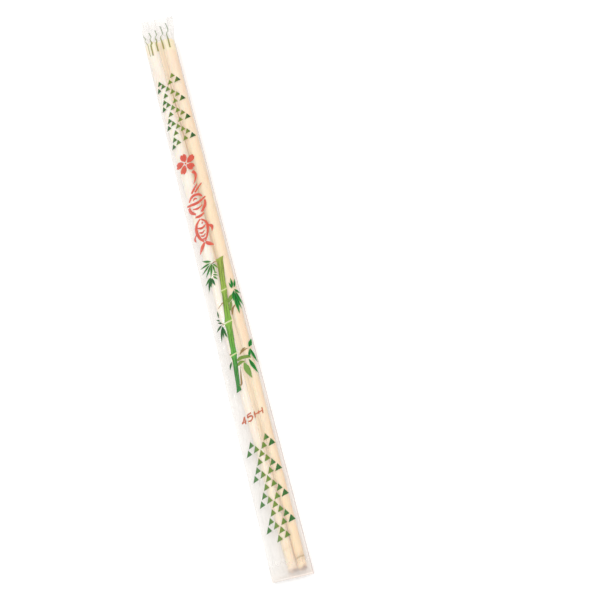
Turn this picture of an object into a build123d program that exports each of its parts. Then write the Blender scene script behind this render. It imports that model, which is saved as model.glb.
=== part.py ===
from build123d import *
import math
import os

# Pair of long bamboo cooking chopsticks lying side by side in a sealed sleeve of
# clear film. +Y runs along the sleeve from the tips to the butts, +Z is up, and the
# origin is the middle of the sleeve's underside.

# Chopsticks
stick_length = 450.0
butt_diameter = 11.8
tip_diameter = 7.1
butt_chamfer = 0.6
tip_edge_radius = 2.4
stick_gap = 0.15
pair_turn = 1.08

# Bamboo joints that turning left as faint rings near the tips
left_joint_from_tip = 18.5
right_joint_from_tip = 10.0
joint_width = 1.8
joint_height = 0.06

# Sleeve of film. The slacks are the loose film on the right of the sticks, and the film
# follows them through so many sections along their length.
film_wall = 0.05
film_clearance = 0.2
tip_margin = 4.0
butt_margin = 22.0
tip_seal_width = 1.5
tail_seal_width = 5.0
seal_opening = 0.05
end_clearance = 0.4
bend_from_tip = 0.8
bend_clearance = 0.2
tip_slack = 3.4
butt_slack = 0.3
tail_flare = 2.8
long_sections = 5

# Share of a quarter turn's radius that makes a Bezier curve round, and the shares of its
# width and height that make limp film slope gently from the fold
round_share = 0.5523
limp_run = 0.45
limp_lift = 0.2
limp_reach = 0.7

# The sleeve's left side is straight, so the sleeve is as wide as the sticks' lean
# and the loose film beside the tips make it.
skin = film_wall + film_clearance
sealed_height = 2 * film_wall + seal_opening
sleeve_length = stick_length + tip_margin + butt_margin
sleeve_start = -sleeve_length / 2
sleeve_stop = sleeve_length / 2
tip_end = sleeve_start + tip_margin
butt_end = tip_end + stick_length
lean = math.tan(math.radians(pair_turn))
butt_reach = skin + butt_diameter + stick_gap / 2
tip_reach = stick_gap / 2 + tip_diameter + skin + tip_slack
left_side = -(butt_reach + stick_length * lean + tip_reach) / 2
butt_parting = left_side + butt_reach


def share_at(y):
    """How far y is along the sticks, from 0 at the tips, and before them, to 1 at the butts."""
    return min(max((y - tip_end) / stick_length, 0), 1)


def radius_at(y):
    """Radius of a stick where it crosses the plane at y."""
    return (tip_diameter + (butt_diameter - tip_diameter) * share_at(y)) / 2


def middle_at(y, side):
    """Middle of one stick at y: side is -1 on the left and 1 on the right."""
    parting = butt_parting + stick_length * (1 - share_at(y)) * lean
    reach = stick_gap / 2 + radius_at(y)
    return Vector(parting + side * reach, y, skin + radius_at(y))


def make_stick(side, joint_from_tip, label):
    """One turned stick: a long taper with a rounded tip, a faint joint and a square butt."""
    tip = middle_at(tip_end, side)
    butt = middle_at(butt_end, side)
    run = (butt - tip).normalized()
    length = (butt - tip).length
    slope = (butt_diameter - tip_diameter) / 2 / length

    def side_point(along, stand=0.0):
        return (along, tip_diameter / 2 + slope * along + stand)

    joint_start = side_point(joint_from_tip - joint_width / 2)
    joint_peak = side_point(joint_from_tip, joint_height)
    joint_end = side_point(joint_from_tip + joint_width / 2)
    butt_shoulder = side_point(length - butt_chamfer)
    butt_rim = (length, butt_shoulder[1] - butt_chamfer)
    with BuildPart() as stick:
        with BuildSketch(Plane(origin=tip, x_dir=run, z_dir=(run.Y, -run.X, 0))):
            with BuildLine():
                FilletPolyline((0, 0), side_point(0), joint_start, radius=tip_edge_radius)
                ThreePointArc(joint_start, joint_peak, joint_end)
                Polyline(joint_end, butt_shoulder, butt_rim, (length, 0), (0, 0))
            make_face()
        revolve(axis=Axis(tip, run))
    stick.part.label = label
    return stick.part


def quarter(centre, flat, side, fold, reach, drape):
    """Control points of the film from the level part over or under centre to the fold at
    (side, fold). It stays level for a share of reach. drape goes from 0, round, to 1, limp."""
    outward = math.copysign(1, side - centre)
    lift = round_share * (1 - drape) + limp_lift * drape
    return (
        (centre, flat),
        (centre + outward * round_share * reach, flat),
        (side + limp_run * drape * (centre - side), fold + lift * (flat - fold)),
        (side, fold),
    )


def sleeve_section(y, half_height, inset, flare=0.0):
    """The film's closed section across the sleeve at y, drawn inset by so much all round.
    Its folds lie level with the sticks' middles. It hangs limp on the left at the tips."""
    drape = 1 - share_at(y)
    left_middle = middle_at(y, -1).X
    right_middle = middle_at(y, 1).X
    middle = skin + radius_at(y)
    reach = middle - inset
    left_reach = reach * (1 + limp_reach * drape)
    slack = butt_slack + (tip_slack - butt_slack) * drape
    left = left_side + inset
    right = right_middle + middle + slack + flare - inset
    fold_rise = sealed_height / 2 - inset
    with BuildSketch(Plane.XZ.offset(-y)) as section:
        with BuildLine():
            for up in (1, -1):
                level = middle + up * (half_height - inset)
                fold = middle + up * fold_rise
                Line((left_middle, level), (right_middle, level))
                Bezier(*quarter(right_middle, level, right, fold, reach, 0))
                Bezier(*quarter(left_middle, level, left, fold, left_reach, drape))
            for fold_side in (left, right):
                Line((fold_side, middle + fold_rise), (fold_side, middle - fold_rise))
        make_face()
    return section.sketch


def over_tips(y):
    """Half the height of the film where it goes round the tips at y."""
    into_round = min(max(tip_end + tip_edge_radius - y, 0), tip_edge_radius)
    drop = tip_edge_radius - math.sqrt(tip_edge_radius**2 - into_round**2)
    return tip_diameter / 2 + skin - drop


def sleeve_sections(inset):
    """Sections of the film from the tips' seal, round the tips and along the sticks, to the
    tail's seal."""
    nose = tip_end - end_clearance
    bend = tip_end + bend_from_tip
    crown = tip_end + tip_edge_radius
    rim = butt_end + end_clearance
    step = (rim - crown) / (long_sections - 1)
    sections = [
        sleeve_section(sleeve_start + tip_seal_width, sealed_height / 2, inset),
        sleeve_section(nose, over_tips(tip_end + end_clearance), inset),
        sleeve_section(bend, over_tips(bend) + bend_clearance, inset),
    ]
    for y in (crown + step * count for count in range(long_sections)):
        sections.append(sleeve_section(y, radius_at(y) + skin, inset))
    tail_seal = sleeve_stop - tail_seal_width
    sections.append(sleeve_section(tail_seal, sealed_height / 2, inset, tail_flare))
    return sections


with BuildPart() as film_sleeve:
    tip_edge = sleeve_section(sleeve_start, sealed_height / 2, 0)
    tail_edge = sleeve_section(sleeve_stop, sealed_height / 2, 0, tail_flare)
    loft([tip_edge, *sleeve_sections(0), tail_edge], ruled=True)
    loft(sleeve_sections(film_wall), ruled=True, mode=Mode.SUBTRACT)
film_sleeve.part.label = "film_sleeve"

chopstick_left = make_stick(-1, left_joint_from_tip, "chopstick_left")
chopstick_right = make_stick(1, right_joint_from_tip, "chopstick_right")

os.makedirs("parts", exist_ok=True)
export_step(film_sleeve.part, "parts/film_sleeve.step")
export_step(chopstick_left, "parts/chopstick_left.step")
export_step(chopstick_right, "parts/chopstick_right.step")
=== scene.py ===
import math
import bmesh
import bpy
import numpy as np
from mathutils import Matrix, Vector, noise


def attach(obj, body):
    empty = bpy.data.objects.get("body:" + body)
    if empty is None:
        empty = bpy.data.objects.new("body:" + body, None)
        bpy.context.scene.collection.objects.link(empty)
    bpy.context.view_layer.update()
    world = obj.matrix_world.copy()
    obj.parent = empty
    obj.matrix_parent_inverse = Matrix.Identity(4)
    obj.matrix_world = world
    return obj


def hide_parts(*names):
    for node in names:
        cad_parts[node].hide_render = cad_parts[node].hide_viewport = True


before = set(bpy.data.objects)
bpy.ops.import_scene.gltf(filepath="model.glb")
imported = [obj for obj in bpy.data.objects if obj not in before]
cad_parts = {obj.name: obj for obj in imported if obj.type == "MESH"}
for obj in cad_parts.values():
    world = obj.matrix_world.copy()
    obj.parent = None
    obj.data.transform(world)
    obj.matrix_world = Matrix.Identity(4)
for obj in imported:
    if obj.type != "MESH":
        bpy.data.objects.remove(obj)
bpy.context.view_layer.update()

mm = 0.001

# lengths in millimetres, as in the solids that the sleeve follows
sticks = {"length": 450.0, "buttRadius": 5.9, "tipRadius": 3.55, "tipEnd": -234.0, "gap": 0.15,
          "buttParting": -3.592, "turn": 1.08, "skin": 0.25}
sleeve = {
    "start": -238.0, "stop": 238.0, "leftFold": -15.717, "tipSlack": 3.4, "buttSlack": 0.3,
    "flare": 2.8, "flareFrom": 216.4, "flareRun": 16.6, "tipSeal": 1.5, "tailSeal": 5.0, "sealHalf": 0.075,
    "round": 0.5523, "limpRun": 0.45, "limpLift": 0.2, "limpReach": 0.7,
    "overTips": ((-236.5, 0.075), (-234.4, 2.73), (-233.2, 3.39), (-231.6, 3.8)),  # places and half heights
    "overButts": ((216.4, 6.15), (219.0, 5.75), (223.0, 4.0), (228.0, 1.9), (231.5, 0.5), (233.0, 0.075)),
    "curveSteps": 40, "levelSteps": 14, "across": 64,
    "rowStep": 1.2, "tipRun": 4.8, "tipRows": 13, "tailRun": 24, "tailRows": 56,
}
wrinkles = {"limp": 0.36, "taut": 0.08, "tail": 1.0, "looseTo": 2, "looseMore": 11, "foldClear": 2.5,
            "sealClear": (9, 8), "tailFrom": (214, 221), "groove": 0.3, "grooveWide": 0.55, "grooveEnd": 218}

print("frame loaded")


# the film's surface, which both the sleeve and its print lie on

def shareAt(y):  # 0 at the tips, 1 at the butts
    return min(max((y - sticks["tipEnd"]) / sticks["length"], 0), 1)


def radiusAt(y):
    return sticks["tipRadius"] + (sticks["buttRadius"] - sticks["tipRadius"]) * shareAt(y)


def partingAt(y):  # the line where the sticks meet
    lean = math.tan(math.radians(sticks["turn"]))
    return sticks["buttParting"] + sticks["length"] * (1 - shareAt(y)) * lean


def middleAt(y, side):  # side is -1 for the left stick and 1 for the right
    return partingAt(y) + side * (sticks["gap"] / 2 + radiusAt(y))


def rightFoldAt(y):
    slack = sleeve["buttSlack"] + (sleeve["tipSlack"] - sleeve["buttSlack"]) * (1 - shareAt(y))
    flare = sleeve["flare"] * min(max((y - sleeve["flareFrom"]) / sleeve["flareRun"], 0), 1)
    return middleAt(y, 1) + sticks["skin"] + radiusAt(y) + slack + flare


def halfHeightAt(y):  # half the film's height, low at both seals
    overTips, overButts = np.array(sleeve["overTips"]), np.array(sleeve["overButts"])
    if y < overTips[-1, 0]:
        return float(np.interp(y, *overTips.T))
    if y > overButts[0, 0]:
        return float(np.interp(y, *overButts.T))
    return radiusAt(y) + sticks["skin"]


def bezier(points, steps):
    p = np.array(points, float)
    t = np.linspace(0, 1, steps)[:, None]
    s = 1 - t
    return s ** 3 * p[0] + 3 * s ** 2 * t * p[1] + 3 * s * t * t * p[2] + t ** 3 * p[3]


def quarter(centre, flat, side, fold, reach, drape):  # from the level part to the fold
    outward = math.copysign(1, side - centre)
    lift = sleeve["round"] * (1 - drape) + sleeve["limpLift"] * drape
    return ((centre, flat), (centre + outward * sleeve["round"] * reach, flat),
            (side + sleeve["limpRun"] * drape * (centre - side), fold + lift * (flat - fold)), (side, fold))


outlines = {}


def outlineAt(y, up):  # the film's line across the sleeve, from the left fold to the right
    key = (round(y, 3), up)
    if key not in outlines:
        drape = 1 - shareAt(y)
        middle = sticks["skin"] + radiusAt(y)
        level = middle + up * halfHeightAt(y)
        fold = middle + up * sleeve["sealHalf"]
        limp = middle * (1 + sleeve["limpReach"] * drape)
        left = quarter(middleAt(y, -1), level, sleeve["leftFold"], fold, limp, drape)
        right = quarter(middleAt(y, 1), level, rightFoldAt(y), fold, middle, 0)
        near, far = bezier(left, sleeve["curveSteps"]), bezier(right, sleeve["curveSteps"])
        between = np.linspace(near[0], far[0], sleeve["levelSteps"])[1:-1]
        line = np.vstack([near[::-1], between, far])
        steps = np.hypot(*np.diff(line, axis=0).T)
        outlines[key] = (line, np.concatenate([[0], np.cumsum(steps)]))
    return outlines[key]


def smooth(x, low, high):
    t = min(max((x - low) / (high - low), 0), 1)
    return t * t * (3 - 2 * t)


def waver(*place):
    return noise.noise(Vector(place))


def rippleAt(across, y, width):  # how far the upper film stands off its plain form
    drape = 1 - shareAt(y)
    looseTo = wrinkles["looseTo"] + wrinkles["looseMore"] * drape  # the film left of this is loose
    limp = (1 - smooth(across, looseTo - 4, looseTo + 3)) * (0.25 + 0.75 * drape)
    edge = smooth(across, 0, wrinkles["foldClear"]) * smooth(width - across, 0, wrinkles["foldClear"])
    tipClear, tailClear = wrinkles["sealClear"]
    seals = smooth(y - sleeve["start"], sleeve["tipSeal"], tipClear)
    seals *= smooth(sleeve["stop"] - y, sleeve["tailSeal"], tailClear)
    long = waver(across * 0.30, y * 0.035, 3.0)
    slant = waver(across * 0.22 + y * 0.11, y * 0.05 - across * 0.12, 21.0)
    pull = 1 - 2.6 * abs(waver(across * 0.16 - y * 0.035, y * 0.012, 41.0))  # sharp-backed folds
    wave = (0.6 * long + 0.45 * slant + 0.35 * (pull - 0.5)) * 2 * limp * wrinkles["limp"]
    taut = (long * 0.5 + slant * 0.7 + (pull - 0.5) * 0.3) * 2 * wrinkles["taut"] * (1 - limp)
    tail = smooth(y, *wrinkles["tailFrom"])
    crumple = 0.0
    if tail:
        folds = 1 - 2.8 * abs(waver(across * 0.2 + y * 0.06 + 5, y * 0.1 - across * 0.05, 4.0))
        cross = 1 - 2.8 * abs(waver(across * 0.12 + 3, y * 0.22 + across * 0.08, 10.0))
        crumple = tail * wrinkles["tail"] * (0.7 * folds + 0.5 * cross - 0.55)
    return (wave + taut + crumple) * edge * seals


def filmPoint(across, y, up=1, lift=0.0):
    line, reach = outlineAt(y, up)
    at = min(max(across, 0), reach[-1])
    before, here, after = (np.array([np.interp(at + step, reach, line[:, k]) for k in (0, 1)])
                           for step in (-0.3, 0, 0.3))
    run = after - before
    normal = np.array([-run[1], run[0]]) / (math.hypot(*run) or 1) * up
    stand = lift
    if up > 0:
        stand += rippleAt(at, y, reach[-1])
        middle = (middleAt(y, 1) + middleAt(y, -1)) / 2
        off = (here[0] - middle) / (wrinkles["grooveWide"] * radiusAt(y))
        stand -= wrinkles["groove"] * math.exp(-off ** 2) * smooth(wrinkles["grooveEnd"] - y, 0, 6)
    x, z = here + normal * stand
    return Vector((x * mm, y * mm, z * mm))


# materials: shader maths written as plain expressions

class Wire:
    def __init__(self, finish, socket):
        self.finish, self.socket = finish, socket

    def calc(self, operation, *others):
        return self.finish.node("ShaderNodeMath", {"operation": operation}, dict(enumerate((self, *others))))

    def __add__(self, other):
        return self.calc("ADD", other)

    def __sub__(self, other):
        return self.calc("SUBTRACT", other)

    def __rsub__(self, other):
        return self.finish.node("ShaderNodeMath", {"operation": "SUBTRACT"}, {0: other, 1: self})

    def __mul__(self, other):
        return self.calc("MULTIPLY", other)

    def __truediv__(self, other):
        return self.calc("DIVIDE", other)

    def __pow__(self, other):
        return self.calc("POWER", other)

    __radd__ = __add__
    __rmul__ = __mul__

    def size(self):
        return self.calc("ABSOLUTE")

    def atMost(self, other):
        return self.calc("MINIMUM", other)

    def atLeast(self, other):
        return self.calc("MAXIMUM", other)

    def fade(self, low, high):  # from 0 to 1 in a smooth step between two values
        return self.finish.node("ShaderNodeMapRange", {"interpolation_type": "SMOOTHSTEP"},
                                {"Value": self, "From Min": low, "From Max": high})


def tone(red, green, blue):  # a colour picked on screen, as the shader takes it
    return tuple(c / 12.92 if c <= 0.04045 else ((c + 0.055) / 1.055) ** 2.4
                 for c in (red / 255, green / 255, blue / 255))


class Finish:
    def __init__(self, name, kind="materials", shader="Principled BSDF"):
        self.block = getattr(bpy.data, kind).new(name)
        self.block.use_nodes = True
        self.nodes, self.links = self.block.node_tree.nodes, self.block.node_tree.links
        self.shader = self.nodes[shader]
        self.surface = Wire(self, self.shader.outputs[0])

    def node(self, kind, settings=None, values=None, output=0):
        made = self.nodes.new(kind)
        for name, value in (settings or {}).items():
            if name == "stops":
                ramp = made.color_ramp.elements
                while len(ramp) < len(value):
                    ramp.new(0.5)
                for stop, (place, colour) in zip(ramp, value):
                    stop.position = place
                    stop.color = (*tone(*colour), 1)
            else:
                setattr(made, name, value)
        for name, value in (values or {}).items():
            self.feed(made.inputs[name], value)
        return Wire(self, made.outputs[output])

    def feed(self, socket, value):
        if isinstance(value, Wire):
            self.links.new(value.socket, socket)
        elif socket.type == "RGBA" and len(value) == 3:
            socket.default_value = (*value, 1)
        else:
            socket.default_value = value

    def set(self, **values):  # sockets of the main shader, their names in one word
        for name, value in values.items():
            found = [s for s in self.shader.inputs if s.name.replace(" ", "").lower() == name.lower()]
            self.feed(found[0], value)

    def show(self, surface):
        self.feed(self.nodes["Material Output"].inputs["Surface"], surface)

    def place(self):  # position on the object, in millimetres
        spot = self.node("ShaderNodeTexCoord", output=3)
        self.spot = self.node("ShaderNodeVectorMath", {"operation": "SCALE"}, {0: spot, "Scale": 1 / mm})
        return [self.node("ShaderNodeSeparateXYZ", values={0: self.spot}, output=k) for k in range(3)]

    def noise(self, stretch, shift=(0, 0, 0), detail=2.0, roughness=0.5, distortion=0.0):
        spot = self.node("ShaderNodeMapping",
                         values={"Vector": self.spot, "Scale": stretch, "Location": shift})
        return self.node("ShaderNodeTexNoise",
                         values={"Vector": spot, "Scale": 1.0, "Detail": detail,
                                 "Roughness": roughness, "Distortion": distortion})

    def mix(self, factor, first, second, blend="MIX"):
        return self.node("ShaderNodeMix", {"data_type": "RGBA", "blend_type": blend},
                         {0: factor, 6: first, 7: second}, output=2)

    def tint(self, base, colour, cover):
        return self.mix(cover, base, tone(*colour))

    def ramp(self, value, stops):
        return self.node("ShaderNodeValToRGB", {"stops": stops}, {0: value})

    def bump(self, height, strength, distance):
        return self.node("ShaderNodeBump",
                         values={"Height": height, "Strength": strength, "Distance": distance})

    def seenBare(self):  # 1 where the camera sees this itself, in gloss or through glass too
        rays = ("Is Camera Ray", "Is Glossy Ray", "Is Transmission Ray")
        camera, gloss, clear = (self.node("ShaderNodeLightPath", output=ray) for ray in rays)
        return camera.atLeast(gloss).atLeast(clear)


def alongSticks(along, placeAt):  # a place that runs straight from the tips to the butts
    atTips, atButts = (placeAt(y) for y in (sticks["tipEnd"], sticks["tipEnd"] + sticks["length"]))
    return along * (atButts - atTips) + atTips


bamboo = {
    "left": {"side": -1, "seed": 0.0, "shade": (247, 228, 203), "shading": 0.45,
             "tones": ((0.0, (249, 229, 200)), (0.35, (253, 242, 229)),
                       (0.74, (253, 243, 231)), (1.0, (252, 241, 230))),
             "jointAt": -215.6, "jointCover": 0.16, "corner": 0.5},
    "right": {"side": 1, "seed": 40.0, "shade": (245, 211, 173), "shading": 0.75,
              "tones": ((0.0, (250, 224, 183)), (0.35, (253, 233, 202)),
                        (0.74, (252, 229, 193)), (1.0, (251, 230, 206))),
              "jointAt": -224.0, "jointCover": 0.95, "corner": 1.0},
    "fibre": (222, 182, 134), "fleck": (190, 144, 98), "joint": (182, 150, 84), "burn": (150, 100, 58),
    "bundle": (214, 172, 122), "inner": (240, 200, 150), "yellow": (253, 243, 204),
    "cloudStretch": (0.12, 0.012, 0.12), "grainStretch": (1.5, 0.012, 1.5), "streakStretch": (4.6, 0.03, 4.6),
    "dashStretch": (5.5, 0.17, 5.5), "wanderStretch": (0.35, 0.1, 0.35), "bundleStretch": (2.1, 0.05, 2.1),
    "streakCover": 0.38, "grainCover": 0.26, "fleckCover": 0.42, "haloCover": 0.3, "burnCover": 0.6,
    "jointSlant": 0.26, "cornerOff": 1.8, "yellowFrom": 204.0, "yellowCover": 0.5, "cutFrom": 215.2,
    "roughness": 0.38, "grainRough": 0.16, "bump": 0.22, "bleed": 0.5, "coat": 0.12,
}


def makeBamboo(name, stick):
    wood = Finish(name)
    x, y, z = wood.place()
    seed = stick["seed"]
    fromTip = y - sticks["tipEnd"]
    along = fromTip / sticks["length"]
    off = x - alongSticks(along, lambda place: middleAt(place, stick["side"]))  # from the stick's middle line
    colour = wood.ramp(along, stick["tones"])
    cloud = wood.noise(bamboo["cloudStretch"], (seed, 0, seed))
    # painted shade: each stick's right side is darker and more peach, as if lit from the left, broken up by a
    # cloud
    band = (off + (cloud - 0.5) * 9.0).fade(-1.5, 4.5)
    colour = wood.tint(colour, stick["shade"], band * stick["shading"] * (1.15 - along * 0.45))
    # painted shade: the flank that meets the other stick turns deeper orange for the shade in the groove
    # between them, less towards the butts
    inner = (off * -stick["side"] / alongSticks(along, radiusAt)).fade(0.66, 1.0)
    colour = wood.tint(colour, bamboo["inner"], inner * (0.66 - along * 0.58))
    grain = wood.noise(bamboo["grainStretch"], (seed, 0, 0), detail=5.0, roughness=0.62)
    streak = wood.noise(bamboo["streakStretch"], (0, seed, 0), detail=3.0, roughness=0.55)
    fibre = streak.fade(0.52, 0.76) * bamboo["streakCover"] + grain.fade(0.5, 0.8) * bamboo["grainCover"]
    colour = wood.tint(colour, bamboo["fibre"], fibre)
    dash = wood.noise(bamboo["dashStretch"], (seed, 3, 0), detail=1.0)
    fleck = dash.fade(0.68, 0.76)
    colour = wood.tint(colour, bamboo["fleck"], fleck * bamboo["fleckCover"])
    wander = wood.noise(bamboo["wanderStretch"], (seed, 0, 0)) - 0.5
    ring = (y - off * bamboo["jointSlant"] - stick["jointAt"] + wander * 1.2).size()
    nearGap = (1 - (off + 3.4).size().fade(0.2, 1.6)) * 0.5 + 0.75  # the line is strongest by the other stick
    ring = (1 - ring.fade(0.2, 1.1)) * nearGap + (1 - ring.fade(0.8, 5.0)) * bamboo["haloCover"]
    colour = wood.tint(colour, bamboo["joint"], (ring * stick["jointCover"]).atMost(1.0))
    # painted shade: the tip end and a spot at one corner are darkened brown, where the rounded end turns away
    # from the light
    tipShadeMask = (1 - (fromTip + wander * 2.4).fade(0.4, 3.4)) * bamboo["burnCover"]
    corner = ((off - bamboo["cornerOff"]).size() + (fromTip - 1.0).size()) * 0.5
    tipShadeMask = tipShadeMask + (1 - corner.fade(0.3, 2.2)) * stick["corner"]
    colour = wood.tint(colour, bamboo["burn"], tipShadeMask.atMost(0.95))
    yellow = (y - bamboo["yellowFrom"]).fade(0.0, 3.0) * bamboo["yellowCover"]
    colour = wood.tint(colour, bamboo["yellow"], yellow)
    bundles = wood.noise(bamboo["bundleStretch"], (seed, 0, 7)).fade(0.5, 0.66) * 0.6 + 0.25
    colour = wood.tint(colour, bamboo["bundle"], (y - bamboo["cutFrom"]).fade(0.0, 0.5) * bundles)
    height = streak * 0.5 + grain * 0.35 + dash * 0.2 - fleck * 0.3
    wood.set(baseColor=colour, roughness=grain * bamboo["grainRough"] + bamboo["roughness"],
             normal=wood.bump(height, bamboo["bump"], 0.0004), coatWeight=bamboo["coat"], coatRoughness=0.35,
             subsurfaceWeight=bamboo["bleed"], subsurfaceScale=0.004, subsurfaceRadius=(1.0, 0.65, 0.42))
    return wood.block


for side in ("left", "right"):
    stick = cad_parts["chopstick_" + side]
    stick.data.materials.clear()
    stick.data.materials.append(makeBamboo("bamboo" + side.title(), bamboo[side]))
print("bamboo finished")


# the film

clearFilm = {
    "haze": (246, 238, 230), "end": (250, 238, 228), "edge": (196, 170, 160), "bridge": (252, 232, 202),
    "gapLine": (226, 190, 156), "fold": (206, 203, 197), "loose": (238, 236, 231),
    "through": (0.975, 0.975, 0.975),
    "bodyCover": 0.15, "rimCover": 0.4, "cloudCover": 0.07, "scratchCover": 0.03, "creaseCover": 0.06,
    "sealCover": 0.16, "looseCover": 0.055, "tailFoldCover": 0.13, "seamCover": 0.3, "leftEdgeCover": 0.08,
    "cloudStretch": (0.22, 0.05, 0.22), "scratchStretch": (2.2, 0.08, 2.2),
    "creaseStretch": (0.26, 0.022, 0.26), "tailFoldStretch": (0.2, 0.045, 0.2),
    "gapShift": 0.408, "seamAt": 2.0, "tailSealFrom": 232.6, "crimps": 7.5, "roughness": 0.13, "bump": 0.12,
}


def makeFilm():
    film = Finish("clearFilm")
    x, y, z = film.place()
    fromTip, fromStart = y - sticks["tipEnd"], y - sleeve["start"]
    along = (fromTip / sticks["length"]).atMost(1.0).atLeast(0.0)
    facing = film.node("ShaderNodeLayerWeight", values={"Blend": 0.32}, output=1)
    # painted shade: a purplish-brown edge along the right fold, the film's side seen in shade, weaker towards
    # the butts
    rightEdge = (1 - (alongSticks(along, rightFoldAt) - x).fade(0.15, 0.85)) * (1 - y.fade(212.0, 218.0))
    leftEdge = 1 - (x - sleeve["leftFold"]).fade(0.05, 0.6)

    # between the sticks the film is painted paler and warmer, a painted light over the shaded groove, with
    # one thin brown line of painted shade down its middle; gapShift sets both a little left of the parting
    # line
    fromGap = (x - alongSticks(along, partingAt) + clearFilm["gapShift"]).size()
    broad = along.fade(0.1, 0.2) - along.fade(0.38, 0.48) + along.fade(0.7, 0.95)
    gapLine = (1 - fromGap.fade(0.2, 1.2)) * (along.fade(0.42, 0.6) * 0.44 - along.fade(0.86, 0.95) * 0.38)
    bridge = (1 - fromGap.fade(0.25, broad * 1.7 + 1.7)) * (1 - gapLine)
    bridge = bridge * (1 - y.fade(213.0, 217.0)) * fromTip.fade(0.0, 6.0)
    bridge = bridge * (along.fade(0.0, 0.42) * 0.36 + 0.17)

    # painted light: near the tips the film is made paler in the end tone, lifting the shadow under the tip
    # seal; the tip seal's own tint uses this tone too
    nearTips = (1 - fromStart.fade(3.0, 19.0)) * 0.2 + (1 - fromStart.fade(2.5, 6.0)) * 0.19
    tipSeal = 1 - fromStart.fade(1.3, 1.8)
    seals = tipSeal.atLeast((y - clearFilm["tailSealFrom"]).fade(0.0, 0.6) * 0.5)
    crimp = (y * clearFilm["crimps"]).calc("SINE") * 0.5 + 0.5
    cloud = film.noise(clearFilm["cloudStretch"], detail=3.0)
    scratch = film.noise(clearFilm["scratchStretch"])
    # thin crease lines: a little more haze, with a painted grey shade along them
    crease = 1 - (film.noise(clearFilm["creaseStretch"], detail=0.0) - 0.5).size().fade(0.0, 0.03)
    # painted shade in the crumpled folds of the tail
    tailFold = (film.noise(clearFilm["tailFoldStretch"], (3, 0, 0), detail=0.0, distortion=0.4) - 0.5).size()
    tailFold = (1 - tailFold.fade(0.0, 0.1)) * y.fade(215.0, 220.0) * clearFilm["tailFoldCover"]
    fromSeam = (x - clearFilm["seamAt"]).size()  # the lapped seam underneath
    seam = (1 - z.fade(0.8, 1.6)) * (1 - fromSeam.fade(3.9, 4.1))
    seam = seam * (0.5 + 0.5 * fromSeam.fade(3.2, 3.7)) * clearFilm["seamCover"]
    flank = alongSticks(along, lambda place: middleAt(place, -1) - radiusAt(place))
    loose = (1 - (x - flank).fade(-1.6, 0.4)) * (1 - along) * clearFilm["looseCover"]

    cover = (facing ** 3.0 * clearFilm["rimCover"] + clearFilm["bodyCover"] + bridge + nearTips + tailFold
             + seam + loose + cloud.fade(0.35, 0.75) * clearFilm["cloudCover"]
             + scratch.fade(0.62, 0.8) * clearFilm["scratchCover"] + crease * clearFilm["creaseCover"]
             + seals * clearFilm["sealCover"] * (0.6 + crimp * 0.4)
             + rightEdge * (0.4 - along * 0.32) + leftEdge * clearFilm["leftEdgeCover"])
    shade = tone(*clearFilm["haze"])
    # tones laid over the haze, in turn: painted light by the tips plus the tip seal's tint, the loose film's
    # grey, painted shade at the right fold, painted light over the groove, the groove's painted shade line,
    # and painted shade in folds and creases plus the lapped seam's real grey
    for name, amount in (("end", nearTips * 2.2 + tipSeal * 0.4), ("loose", loose * 8.0),
                         ("edge", rightEdge * 0.8), ("bridge", bridge * 2.6), ("gapLine", gapLine * 1.5),
                         ("fold", tailFold * 4.0 + seam * 2.0 + crease * 0.4)):
        shade = film.tint(shade, clearFilm[name], amount.atMost(1.0))
    film.set(baseColor=shade, roughness=clearFilm["roughness"], ior=1.5, specularIORLevel=0.9,
             normal=film.bump(scratch * 0.3 + cloud + seals * crimp * 0.5, clearFilm["bump"], 0.0006))
    clear = film.node("ShaderNodeBsdfTransparent", values={"Color": clearFilm["through"]})
    film.show(film.node("ShaderNodeMixShader", values={0: cover.atMost(1.0), 1: clear, 2: film.surface}))
    return film.block


def meshPiece(name, points, faces, material):
    data = bpy.data.meshes.new(name)
    data.from_pydata([tuple(p) for p in points], [], faces)
    data.update()
    data.shade_smooth()
    piece = bpy.data.objects.new(name, data)
    bpy.context.scene.collection.objects.link(piece)
    data.materials.append(material)
    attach(piece, "root")
    return piece


def makeSleeve():
    tipStop = sleeve["start"] + sleeve["tipRun"]
    plain = np.arange(tipStop, sleeve["stop"] - sleeve["tailRun"], sleeve["rowStep"])
    tips = np.linspace(sleeve["start"], tipStop, sleeve["tipRows"])[:-1]
    tail = np.linspace(plain[-1], sleeve["stop"], sleeve["tailRows"])[1:]
    rows = [*tips, *plain, *tail]
    points, faces = [], []
    count = sleeve["across"]
    for y in rows:
        for up in (1, -1):
            reach = outlineAt(y, up)[1][-1]
            points += [filmPoint(reach * step / count, y, up) for step in range(count + 1)[::up]]
    ring = 2 * (count + 1)
    for row in range(len(rows) - 1):
        for i in range(ring):
            a, b = row * ring + i, row * ring + (i + 1) % ring
            faces.append((a, a + ring, b + ring, b))
    for first in (0, (len(rows) - 1) * ring):  # the sealed ends
        for i in range(count):
            cap = (first + i, first + i + 1, first + ring - 2 - i, first + ring - 1 - i)
            faces.append(cap if first == 0 else cap[::-1])
    return meshPiece("sleeveFilm", points, faces, makeFilm())


film = makeSleeve()
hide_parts("film_sleeve")
print("film made,", len(film.data.polygons), "faces")


# the print: flat shapes drawn across and along the film, then laid on it

inks = {"first": 0.03, "step": 0.012, "shifts": 4, "cutAcross": 0.8, "cutAlong": 1.2, "halfWidth": 16.0,
        "mottle": 0.14, "mottleStretch": (0.8, 0.8, 0.8),
        "streakStretch": (2.2, 0.35, 2.2), "streakCover": 0.45, "darker": (0.55, 0.55, 0.5),
        "roughness": 0.38, "bump": 0.08}


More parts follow.
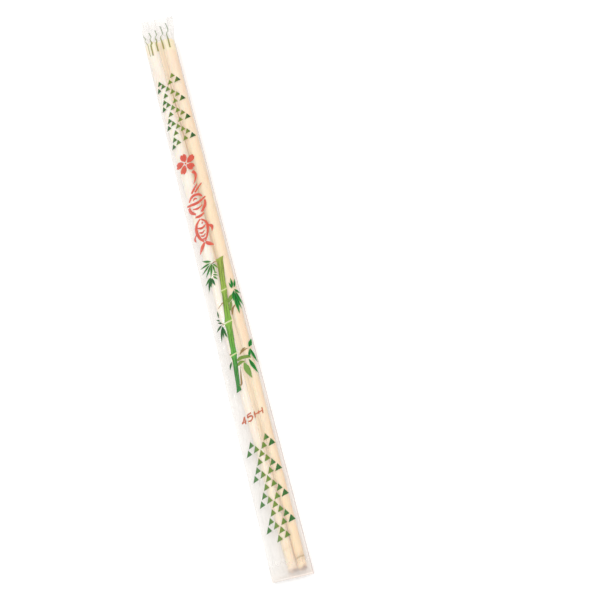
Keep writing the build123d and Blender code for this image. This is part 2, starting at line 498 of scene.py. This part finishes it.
def makeInk(name, colours, cover, along=None):  # colours run across the film, or along it between two places
    ink = Finish(name)
    x, y, z = ink.place()
    half = inks["halfWidth"]
    value = (y - along[0]) / (along[1] - along[0]) if along else (x + half) / (2 * half)
    mottle = ink.noise(inks["mottleStretch"], detail=4.0, roughness=0.6)
    streak = ink.noise(inks["streakStretch"], detail=3.0)
    base = ink.ramp((value + (mottle - 0.5) * inks["mottle"]).atMost(1.0).atLeast(0.0), colours)
    dark = ink.mix(1.0, base, inks["darker"], "MULTIPLY")
    base = ink.mix(streak.fade(0.5, 0.72) * inks["streakCover"], base, dark)
    ink.set(baseColor=base, roughness=inks["roughness"], specularIORLevel=0.3,
            alpha=mottle * 0.16 + (cover - 0.1), normal=ink.bump(mottle, inks["bump"], 0.0003))
    return ink.block


def layInk(name, shapes, look, layer=0):
    points, faces = [], []
    for index, shape in enumerate(shapes):
        flat = bmesh.new()
        flat.faces.new([flat.verts.new((a, y, 0)) for a, y in shape])
        bmesh.ops.triangulate(flat, faces=flat.faces[:])
        for axis, step in ((Vector((1, 0, 0)), inks["cutAcross"]), (Vector((0, 1, 0)), inks["cutAlong"])):
            reach = [v.co.dot(axis) for v in flat.verts]
            for at in np.arange(math.ceil(min(reach) / step) * step, max(reach), step):
                everything = flat.verts[:] + flat.edges[:] + flat.faces[:]
                bmesh.ops.bisect_plane(flat, geom=everything, plane_co=axis * float(at), plane_no=axis)
        flat.verts.index_update()
        lift = inks["first"] + inks["step"] * (layer + (index % inks["shifts"]) / inks["shifts"])
        first = len(points)
        points += [filmPoint(v.co.x, v.co.y, 1, lift) for v in flat.verts]
        faces += [[first + v.index for v in face.verts] for face in flat.faces]
        flat.free()
    return meshPiece(name + "Print", points, faces, makeInk(name + "Ink", **look))


brush = {"thinnest": 0.05,
         "leafAt": (0, 0.15, 0.35, 0.6, 0.82, 1), "leafWide": (0.12, 0.6, 1.0, 0.85, 0.42, 0.04),
         "swell": {3: (0.7, 1.15, 0.25), 4: (0.7, 1.15, 0.95, 0.25)}}


def curveThrough(points, steps=8):  # a smooth line through given points
    p = [np.array(q, float) for q in points]
    p = [2 * p[0] - p[1], *p, 2 * p[-1] - p[-2]]
    line = []
    for a, b, c, d in zip(p, p[1:], p[2:], p[3:]):
        for t in np.linspace(0, 1, steps, endpoint=False):
            line.append(0.5 * (2 * b + (c - a) * t + (2 * a - 5 * b + 4 * c - d) * t * t
                               + (3 * b - a - 3 * c + d) * t ** 3))
    return [*line, p[-2]]


def stroke(points, widths, steps=8):  # a brush stroke: points, and its width at each of them
    line = curveThrough(points, steps)
    wide = curveThrough([(w, 0) for w in widths], steps)
    left, right = [], []
    for i, here in enumerate(line):
        run = line[min(i + 1, len(line) - 1)] - line[max(i - 1, 0)]
        side = np.array([-run[1], run[0]]) / (math.hypot(*run) or 1)
        half = max(wide[i][0], brush["thinnest"]) / 2
        left.append(tuple(here + side * half))
        right.append(tuple(here - side * half))
    return left + right[::-1]


def brushed(points, wide):  # a stroke that swells and then runs out to a point
    return stroke(points, [wide * w for w in brush["swell"][len(points)]])


def leaf(base, tip, width, bend):
    base, tip = np.array(base, float), np.array(tip, float)
    run = tip - base
    side = np.array([-run[1], run[0]]) / math.hypot(*run)
    points = [base + run * t + side * bend * 4 * t * (1 - t) for t in brush["leafAt"]]
    return stroke(points, [width * w for w in brush["leafWide"]], 5)


def vein(base, tip, width, bend, share, thin):  # a thin leaf down the middle of a leaf
    return leaf(base, [b + (t - b) * share for b, t in zip(base, tip)], width * thin, bend)


def blob(points, steps=6):  # a smooth closed outline
    line = curveThrough([points[-1], *points, points[0]], steps)
    return [tuple(p) for p in line[steps:-steps - 1]]


def placed(shape, at, lean):
    return [(at[0] + a, at[1] + b + lean * a) for a, b in shape]


# three-cornered scales in threes, at both ends

# the scale inks run across the film: green print whose ramp also paints shade, olive where the shaded groove
# lies behind and darkest by the right fold
scales = {
    "top": {
        "start": (18.5, 182.7), "inRow": (3.2, -2.95), "nextRow": (-3.03, -5.52), "wide": 4.5, "tall": 3.9,
        "lastFrom": 21.6, "lastWide": 5.7, "lastTall": 4.3, "lastDrop": 1.3, "tight": 9.0, "squeeze": 0.3,
        "threes": ((0, 0), (-1, 1), (0, 1), (1, 1), (0, 2), (1, 2), (2, 2), (1, 3), (2, 3), (3, 3), (2, 4)),
        "ink": {"cover": 0.97,
                "colours": ((0.0, (62, 96, 58)), (0.12, (56, 104, 50)), (0.34, (104, 132, 48)),
                            (0.5, (116, 134, 44)), (0.58, (92, 120, 40)), (0.63, (34, 84, 30)))}},
    "bottom": {
        "start": (21.1, -128.5), "inRow": (3.25, -4.1), "nextRow": (-3.07, -5.98), "wide": 4.9, "tall": 4.8,
        "lastFrom": 24.2, "lastWide": 6.0, "lastTall": 5.0, "lastDrop": 0.8, "tight": 0.0, "squeeze": 0.0,
        "threes": ((0, 0), (-1, 1), (0, 1), (1, 1), (0, 2), (1, 2), (2, 2), (1, 3), (2, 3), (3, 3), (2, 4),
                   (3, 4)),
        "ink": {"cover": 0.97,
                "colours": ((0.0, (82, 120, 68)), (0.25, (58, 114, 48)), (0.45, (112, 138, 50)),
                            (0.58, (102, 132, 46)), (0.68, (48, 108, 38)), (0.9, (24, 94, 36)))}},
    "rowRise": 0.3, "above": 0.55, "below": 0.45,
}


def makeScales(name):
    shapes = []
    band = scales[name]
    start, inRow, nextRow = (np.array(band[key]) for key in ("start", "inRow", "nextRow"))
    for m, n in [(2 * m + i, 2 * n + j) for m, n in band["threes"] for i, j in ((0, 0), (1, 0), (0, 1))]:
        across, y = start + m * inRow + n * nextRow
        if across < band["tight"]:  # drawn in where the film turns round the stick
            across += band["squeeze"] * (band["tight"] - across)
        last = across > band["lastFrom"]
        wide, tall = (band["lastWide"], band["lastTall"]) if last else (band["wide"], band["tall"])
        y -= band["lastDrop"] if last else 0
        foot, rise = y - tall * scales["below"], scales["rowRise"] * wide / 2
        shapes.append([(across, y + tall * scales["above"]), (across - wide / 2, foot - rise),
                       (across + wide / 2, foot + rise)])
    layInk(name + "Scale", shapes, band["ink"])


makeScales("top")
makeScales("bottom")

# lengthwise stripes at the butts, folded with the film where it crumples

stripes = {
    "lines": (
        ((5.2, 203.6), (5.2, 206), (5.2, 210), (5.3, 214.4), (3.3, 218.5), (4.4, 219.8),
         (2.5, 222.8), (0.9, 225.7)),
        ((7.8, 203.4), (7.9, 208), (8.0, 212.9), (9.3, 214.6), (8.2, 218), (9, 220.3),
         (7.4, 223.6), (6.3, 226.1)),
        ((12.7, 206.1), (12.7, 210), (12.7, 213.3), (13.5, 215.8), (12.5, 218.5), (13.4, 221.9),
         (12.2, 225), (11.3, 227.6)),
        ((17.5, 207.1), (17.5, 212), (17.2, 216), (17, 219.1), (18.5, 221.1), (17, 226), (15.5, 230.9)),
        ((22.8, 207.4), (22.8, 212), (22.8, 215.8), (21.8, 222.2), (22.7, 223.9), (21.4, 229), (20.3, 233)),
    ),
    "wide": 1.2, "thin": 0.75, "faint": 0.55, "outer": 6.0, "widest": 217.0,
    "ink": {"cover": 0.8, "along": (200, 236),
            "colours": ((0.0, (146, 140, 72)), (0.4, (140, 142, 70)),
                        (0.55, (124, 142, 98)), (1.0, (122, 146, 122)))},
}


def makeStripes():
    shapes = []
    for line in stripes["lines"]:
        wide = stripes["faint"] if line[0][0] < stripes["outer"] else stripes["wide"]
        shapes.append(stroke(line, [wide if y < stripes["widest"] else stripes["thin"] for a, y in line], 3))
    layInk("stripe", shapes, stripes["ink"])


makeStripes()
print("scales and stripes laid")

# bamboo plant: culm, leaves and twigs

plant = {
    "culm": (((19.6, 20.3), 6.4, (16.93, -5.9), 4.9), ((16.85, -7.0), 5.0, (14.3, -32.4), 6.2),
             ((14.1, -33.7), 6.3, (12.5, -59.1), 4.9), ((12.4, -60.3), 5.0, (9.4, -89.3), 4.2)),
    "uneven": 0.28, "slant": 0.3, "flare": 1.3, "waist": 1.15,
    "streaks": ((-0.46, 0.0, 1.0), (-0.28, 0.06, 0.6), (0.02, 0.3, 0.95), (0.22, 0.04, 0.5),
                (0.45, 0.0, 1.0)),
    "streakWide": (0.21, 0.504, 0.42, 0.126),
    "jointOver": 0.5, "jointWide": (0.5, 0.75, 0.5), "jointRise": (0.5, 0.35, 0.65),
    "leaves": (
        ((12.3, 18.4), (5.4, 20.8), 2.0), ((11.2, 17.4), (1.9, 15.2), 1.6),
        ((10.8, 16.2), (2.6, 10.2), 1.6), ((11.2, 15.4), (5.0, 6.2), 1.6),
        ((11.9, 15.4), (9.2, 5.6), 1.7), ((12.7, 15.8), (13.4, 8.0), 1.5),
        ((13.2, 16.4), (16.4, 12.0), 1.4), ((12.0, 17.2), (10.6, 11.4), 1.4),
        ((11.0, 6.0), (14.1, 2.8), 1.7), ((11.4, 7.5), (15.2, 5.9), 1.4),
        ((12.4, 9.4), (15.0, 8.2), 1.1), ((9.0, 5.8), (3.2, 0.8), 2.0)),
    "darkLeaves": (
        ((9.1, 5.2), (4.9, -5.5), 2.1), ((9.7, 5.0), (7.7, -2.4), 1.8),
        ((10.2, 4.7), (11.2, -1.5), 1.9), ((7.3, -28.0), (7.5, -22.1), 1.2),
        ((7.9, -30.9), (5.2, -29.0), 1.2), ((9.1, -33.3), (5.8, -31.6), 1.5),
        ((8.8, -34.3), (3.2, -38.6), 1.7), ((8.7, -35.5), (5.3, -47.6), 1.8),
        ((9.0, -35.5), (7.9, -45.4), 1.5), ((9.2, -36.0), (10.7, -45.7), 1.7),
        ((23.6, -6.3), (23.9, 1.8), 2.0), ((25.0, -6.1), (27.2, 1.0), 1.8),
        ((22.9, -6.9), (21.6, -1.6), 1.5), ((24.8, -7.7), (29.8, -11.5), 1.9),
        ((24.3, -8.9), (22.0, -17.4), 2.3), ((25.1, -9.6), (29.6, -21.9), 2.5),
        ((24.3, -10.6), (24.4, -28.6), 3.0), ((24.3, -10.8), (27.2, -24.6), 2.4),
        ((25.1, -56.1), (28.8, -49.5), 3.2), ((25.6, -57.6), (29.6, -69.4), 2.6),
        ((22.8, -65.9), (27.7, -78.2), 3.0), ((23.2, -63.9), (25.0, -57.7), 1.9),
        ((9.4, -65.1), (6.6, -71.2), 1.6)),
    "lightLeaves": (((18.5, -67.7), (21.7, -81.2), 4.6),),
    "bend": 0.25, "darkBend": -0.3, "lightBend": -0.2, "vein": (0.9, 0.34), "darkVein": (0.8, 0.3),
    "branches": ((((17.9, -17.4), (20.5, -14.0), (23.3, -11.1)), 2.6),
                 (((13.9, -65.3), (17.2, -63.6), (22.8, -63.8), (24.4, -65.1)), 2.4),
                 (((13.2, -69.2), (16.0, -67.1), (19.5, -66.8)), 2.2),
                 (((17.9, -24.2), (19.3, -19.4), (20.5, -16.9)), 1.8)),
    "twigs": ((((16.8, -60.8), (19.1, -58.7), (24.2, -57.0)), 1.2),
              (((18.0, -58.3), (20.7, -56.7), (22.2, -56.5)), 1.0),
              (((18.5, -27.9), (20.1, -23.1), (23.2, -20.1)), 1.3),
              (((9.0, -20.7), (12.8, -17.4), (15.0, -16.4)), 0.6),
              (((12.5, 16.5), (15.0, 17.7), (16.6, 17.4)), 0.7),
              (((9.1, -33.3), (10.0, -33.7), (11.0, -34.4)), 0.7),
              (((10.7, -85.1), (12.8, -84.0), (13.7, -78.4), (15.1, -70.4)), 1.1),
              (((9.3, -59.7), (9.7, -59.2), (10.2, -58.8)), 1.2)),
    "inks": {
        "culm": {"cover": 0.94, "along": (-92, 22),
                 "colours": ((0.0, (20, 116, 38)), (0.14, (40, 138, 44)), (0.3, (84, 162, 54)),
                             (0.5, (126, 178, 64)), (0.8, (148, 176, 68)), (1.0, (152, 168, 68)))},
        "joint": {"cover": 0.9, "colours": ((0.0, (206, 226, 150)), (1.0, (222, 228, 150)))},
        "streak": {"cover": 0.6, "along": (-92, 22),
                   "colours": ((0.0, (22, 92, 34)), (0.4, (58, 114, 34)), (1.0, (104, 118, 40)))},
        "leaf": {"cover": 0.96,
                 "colours": ((0.0, (46, 112, 50)), (0.25, (66, 146, 58)), (0.45, (112, 162, 56)),
                             (1.0, (58, 130, 60)))},
        "darkLeaf": {"cover": 1.0,
                     "colours": ((0.0, (54, 92, 52)), (0.28, (34, 106, 42)), (0.6, (14, 134, 40)),
                                 (1.0, (4, 130, 42)))},
        "leafVein": {"cover": 0.7, "colours": ((0.0, (30, 66, 32)), (0.4, (10, 82, 26)), (1.0, (0, 92, 28)))},
        "lightLeaf": {"cover": 0.9, "colours": ((0.0, (116, 160, 64)), (1.0, (104, 150, 62)))},
        "branch": {"cover": 0.92, "colours": ((0.0, (116, 140, 56)), (1.0, (106, 148, 50)))},
        "twig": {"cover": 0.88, "colours": ((0.0, (150, 124, 70)), (1.0, (140, 108, 54)))},
    },
}


def onCulm(part, t, off):  # a point at t down one part of the culm, off its middle
    (topAt, topY), _, (lowAt, lowY), _ = part
    return topAt + (lowAt - topAt) * t + off, topY + (lowY - topY) * t + off * plant["slant"]


def culmWidth(part, t):
    return part[1] + (part[3] - part[1]) * t - plant["waist"]


def culmShape(part):
    edges = {-1: [], 1: []}
    for side, edge in edges.items():
        for t in np.linspace(0, 1, 17):
            flare = plant["flare"] * (max(0, 1 - t * 5) ** 2 + max(0, 1 - (1 - t) * 5) ** 2)
            half = (culmWidth(part, t) + flare) / 2
            half += plant["uneven"] * waver(side * 7.0, part[0][1] + t * 9.0, 2.0)
            edge.append(onCulm(part, t, side * half))
    return edges[-1] + edges[1][::-1]


def culmStreak(part, across, first, last):
    places = (first, (2 * first + last) / 3, (first + 2 * last) / 3, last)
    return stroke([onCulm(part, t, across * culmWidth(part, t)) for t in places], plant["streakWide"], 4)


def culmJoint(part):
    (at, y), wide = part[:2]
    reach = wide / 2 + plant["jointOver"]
    line = [(at + off, y + rise + off * plant["slant"])
            for off, rise in zip((-reach, 0, reach), plant["jointRise"])]
    return stroke(line, plant["jointWide"], 5)


def makePlant():
    veins = [vein(*l, plant["darkBend"], *plant["darkVein"]) for l in plant["darkLeaves"]]
    veins += [vein(*l, plant["bend"], *plant["vein"]) for l in plant["leaves"]]
    streaks = [culmStreak(part, *streak) for part in plant["culm"] for streak in plant["streaks"]]
    for name, layer, shapes in (
            ("culm", 0, [culmShape(part) for part in plant["culm"]]),
            ("joint", 2, [culmJoint(part) for part in plant["culm"][1:]]),
            ("streak", 1, streaks),
            ("leaf", 1, [leaf(*l, plant["bend"]) for l in plant["leaves"]]),
            ("darkLeaf", 3, [leaf(*l, plant["darkBend"]) for l in plant["darkLeaves"]]),
            ("leafVein", 5, veins),
            ("lightLeaf", 2, [leaf(*l, plant["lightBend"]) for l in plant["lightLeaves"]]),
            ("branch", 1, [brushed(*branch) for branch in plant["branches"]]),
            ("twig", 2, [brushed(*twig) for twig in plant["twigs"]])):
        layInk(name, shapes, plant["inks"][name], layer)


makePlant()
print("plant laid")

# red ornaments: a blossom, a bowl with a pair of sticks and a fish, all plain brush work

ornaments = {
    "lean": 0.28,
    "blossom": {
        "at": (11.6, 104.2), "petals": 5, "turn": 96,
        "petal": ((1.3, 0.0), (3.2, -2.0), (6.2, -2.7), (8.3, -1.3), (7.6, 0.0), (8.5, 1.2), (6.4, 2.6),
                  (3.2, 1.9)),
        "stem": (((3.8, -8.6), (5.6, -11.6), (5.0, -15.2), (2.2, -19.4)), (2.6, 2.0, 1.7, 0.5)),
        "heart": ((0.8, 0.0), (0.25, 0.75), (-0.65, 0.5), (-0.65, -0.5), (0.25, -0.75))},
    "bowl": {
        "at": (12.4, 69.3),
        "strokes": (
            (((-8.2, 1.3), (0.0, -0.3), (8.2, 1.7)), (1.5, 2.3, 1.2)),
            (((-7.0, -0.6), (-6.0, -5.0), (-2.6, -8.8)), (2.1, 2.5, 1.3)),
            (((7.0, -0.4), (6.1, -4.8), (2.4, -8.8)), (1.3, 2.5, 2.1)),
            (((-4.0, -3.7), (0.0, -4.9), (4.2, -3.5)), (0.9, 1.6, 0.8)),
            (((-3.6, -10.9), (0.0, -11.6), (4.0, -10.6)), (1.4, 2.3, 1.3)),
            (((-5.6, 3.3), (-2.8, 6.1), (0.6, 6.8), (4.0, 5.5), (5.6, 3.2)), (1.3, 2.1, 2.2, 1.8, 1.0)),
            (((-2.2, 2.7), (-0.6, 3.9), (1.4, 3.1)), (0.8, 1.5, 0.8)),
            (((1.0, 8.8), (4.2, 11.4), (7.8, 13.8)), (1.7, 1.6, 0.9)),
            (((-2.0, 9.0), (1.0, 12.0), (4.2, 15.0)), (1.6, 1.7, 0.9)))},
    "fish": {
        "at": (11.6, 42.0), "fills": (((0.6, 9.0), (1.4, 8.6), (2.1, 9.2), (1.8, 10.2), (1.0, 10.3)),),
        "strokes": (
            (((0.6, 13.2), (-3.6, 9.6), (-4.8, 4.6), (-3.4, -1.2), (-0.8, -5.8)), (1.0, 2.3, 2.7, 2.1, 1.3)),
            (((1.2, 12.8), (4.4, 9.3), (4.9, 4.4), (3.1, -1.4), (0.4, -6.0)), (1.0, 1.8, 2.1, 1.7, 1.1)),
            (((-3.2, 7.2), (0.2, 5.4), (3.6, 7.1)), (0.9, 1.9, 0.9)),
            (((-2.8, 3.0), (-0.4, 1.7), (1.9, 3.0)), (0.8, 1.5, 0.8)),
            (((-2.1, -0.1), (0.0, -1.3), (1.9, 0.0)), (0.8, 1.4, 0.8)),
            (((-1.2, -2.9), (0.0, -3.9), (1.2, -2.9)), (0.6, 1.2, 0.6)),
            (((-0.4, -6.6), (-3.2, -9.4), (-6.2, -13.6)), (1.5, 3.1, 0.7)),
            (((0.4, -6.6), (2.8, -9.0), (6.2, -11.8)), (1.5, 2.9, 0.7)),
            (((5.8, 5.8), (8.2, 3.0), (7.4, -0.6)), (1.1, 2.3, 0.5)),
            (((-5.8, 3.0), (-7.9, 0.6), (-7.2, -2.2)), (1.0, 2.0, 0.5)))},
    "ink": {"cover": 0.87, "colours": ((0.0, (212, 86, 68)), (0.5, (218, 80, 62)), (1.0, (206, 78, 64)))},
}


def blossomShapes(blossom):
    for k in range(blossom["petals"]):
        turn = math.radians(blossom["turn"] + 360 / blossom["petals"] * k)
        out, side = (math.cos(turn), math.sin(turn)), (-math.sin(turn), math.cos(turn))
        yield blob([(out[0] * o + side[0] * w, out[1] * o + side[1] * w) for o, w in blossom["petal"]])
    yield stroke(*blossom["stem"])
    yield blob(blossom["heart"])


def makeOrnaments():
    drawn = {"blossom": blossomShapes(ornaments["blossom"])}
    for name in ("bowl", "fish"):
        part = ornaments[name]
        drawn[name] = [blob(points) for points in part.get("fills", ())]
        drawn[name] += [stroke(*line) for line in part["strokes"]]
    shapes = [placed(shape, ornaments[name]["at"], ornaments["lean"])
              for name in drawn for shape in drawn[name]]
    layInk("brush", shapes, ornaments["ink"], 1)


makeOrnaments()

# the length in plain numbers, and a measuring mark beside it

number = {
    "at": (14.2, -110.8), "lean": 0.3, "pen": 1.32,
    "strokes": (
        (((-5.6, 2.9), (-6.8, 0.6), (-8.6, -0.9)), 0.85), (((-8.7, -0.9), (-6.8, -0.9), (-4.6, -0.9)), 0.8),
        (((-5.5, 2.9), (-5.6, 0.0), (-5.7, -2.9)), 0.9), (((0.4, 2.7), (-1.2, 2.6), (-2.7, 2.6)), 0.8),
        (((-2.8, 2.8), (-2.9, 1.6), (-3.1, 0.4)), 0.85),
        (((-3.1, 0.4), (-1.4, 0.8), (0.3, 0.1), (0.6, -1.2), (-0.3, -2.5), (-1.8, -2.9), (-3.3, -2.3)), 0.9),
        (((2.9, 2.4), (2.8, 0.0), (2.7, -2.4)), 0.75), (((2.9, 0.0), (6.0, 0.0), (9.1, 0.0)), 0.7),
        (((9.3, 2.4), (9.2, 0.0), (9.1, -2.4)), 0.75), (((6.1, 1.5), (6.1, 0.2), (6.0, -1.2)), 0.65)),
    "ink": {"cover": 0.86, "colours": ((0.0, (188, 94, 62)), (1.0, (194, 94, 54)))},
}


def makeNumber():
    shapes = []
    for points, wide in number["strokes"]:
        flat = stroke(points, [wide * number["pen"]] * len(points), 4)
        shapes.append(placed(flat, number["at"], number["lean"]))
    layInk("number", shapes, number["ink"])


makeNumber()
print("ornaments and number laid")

# camera, floor and light

view = {"turn": 13.512, "rise": 70.0, "distance": 1.5, "target": (0.0562, -0.0251, 0.0), "lens": 115.49,
        "sensor": 36.0, "clip": (0.05, 20)}


def makeCamera():
    turn, rise = math.radians(view["turn"]), math.radians(view["rise"])
    ahead = Vector((math.sin(turn) * math.cos(rise), math.cos(turn) * math.cos(rise), -math.sin(rise)))
    right = Vector((math.cos(turn), -math.sin(turn), 0))
    facing = Matrix((right, right.cross(ahead), -ahead)).transposed().to_4x4()
    data = bpy.data.cameras.new("camera")
    data.lens, data.sensor_width = view["lens"], view["sensor"]
    data.clip_start, data.clip_end = view["clip"]
    camera = bpy.data.objects.new("camera", data)
    camera.matrix_world = Matrix.Translation(Vector(view["target"]) - ahead * view["distance"]) @ facing
    bpy.context.scene.collection.objects.link(camera)
    bpy.context.scene.camera = camera


studio = {"floorHalf": 3.0, "floorDrop": 0.0002, "floor": (0.94, 0.94, 0.94), "floorLift": 0.12,
          "world": 0.86, "lamps": (((-0.5, -0.35, 1.9), 1.8, 7.5), ((0.9, 0.5, 1.7), 1.6, 3.5),
                                   ((-0.62, 0.5, 1.5), 0.26, 2.6))}  # place, width and power


def makeFloor():
    pale = Finish("paleFloor")
    glow = pale.node("ShaderNodeEmission",
                     values={"Color": (1, 1, 1), "Strength": pale.seenBare() * studio["floorLift"]})
    pale.set(baseColor=studio["floor"], roughness=0.9, specularIORLevel=0.1)
    pale.show(pale.node("ShaderNodeAddShader", values={0: pale.surface, 1: glow}))
    half = studio["floorHalf"]
    data = bpy.data.meshes.new("floor")
    corners = ((-half, -half), (half, -half), (half, half), (-half, half))
    data.from_pydata([(x, y, -studio["floorDrop"]) for x, y in corners], [], [(0, 1, 2, 3)])
    data.materials.append(pale.block)
    floor = bpy.data.objects.new("floor", data)
    bpy.context.scene.collection.objects.link(floor)


def makeLight():
    sky = Finish("studio", "worlds", "Background")
    sky.set(color=(1, 1, 1), strength=sky.seenBare() * (1 - studio["world"]) + studio["world"])
    bpy.context.scene.world = sky.block
    for place, size, power in studio["lamps"]:
        data = bpy.data.lights.new("softbox", "AREA")
        data.shape, data.size, data.energy = "DISK", size, power
        lamp = bpy.data.objects.new("softbox", data)
        lamp.location = place
        lamp.rotation_euler = (-Vector(place)).to_track_quat("-Z", "Y").to_euler()
        bpy.context.scene.collection.objects.link(lamp)


makeCamera()
makeFloor()
makeLight()
bpy.context.scene.view_settings.view_transform = "Standard"
print("camera and studio set")

bpy.context.view_layer.update()
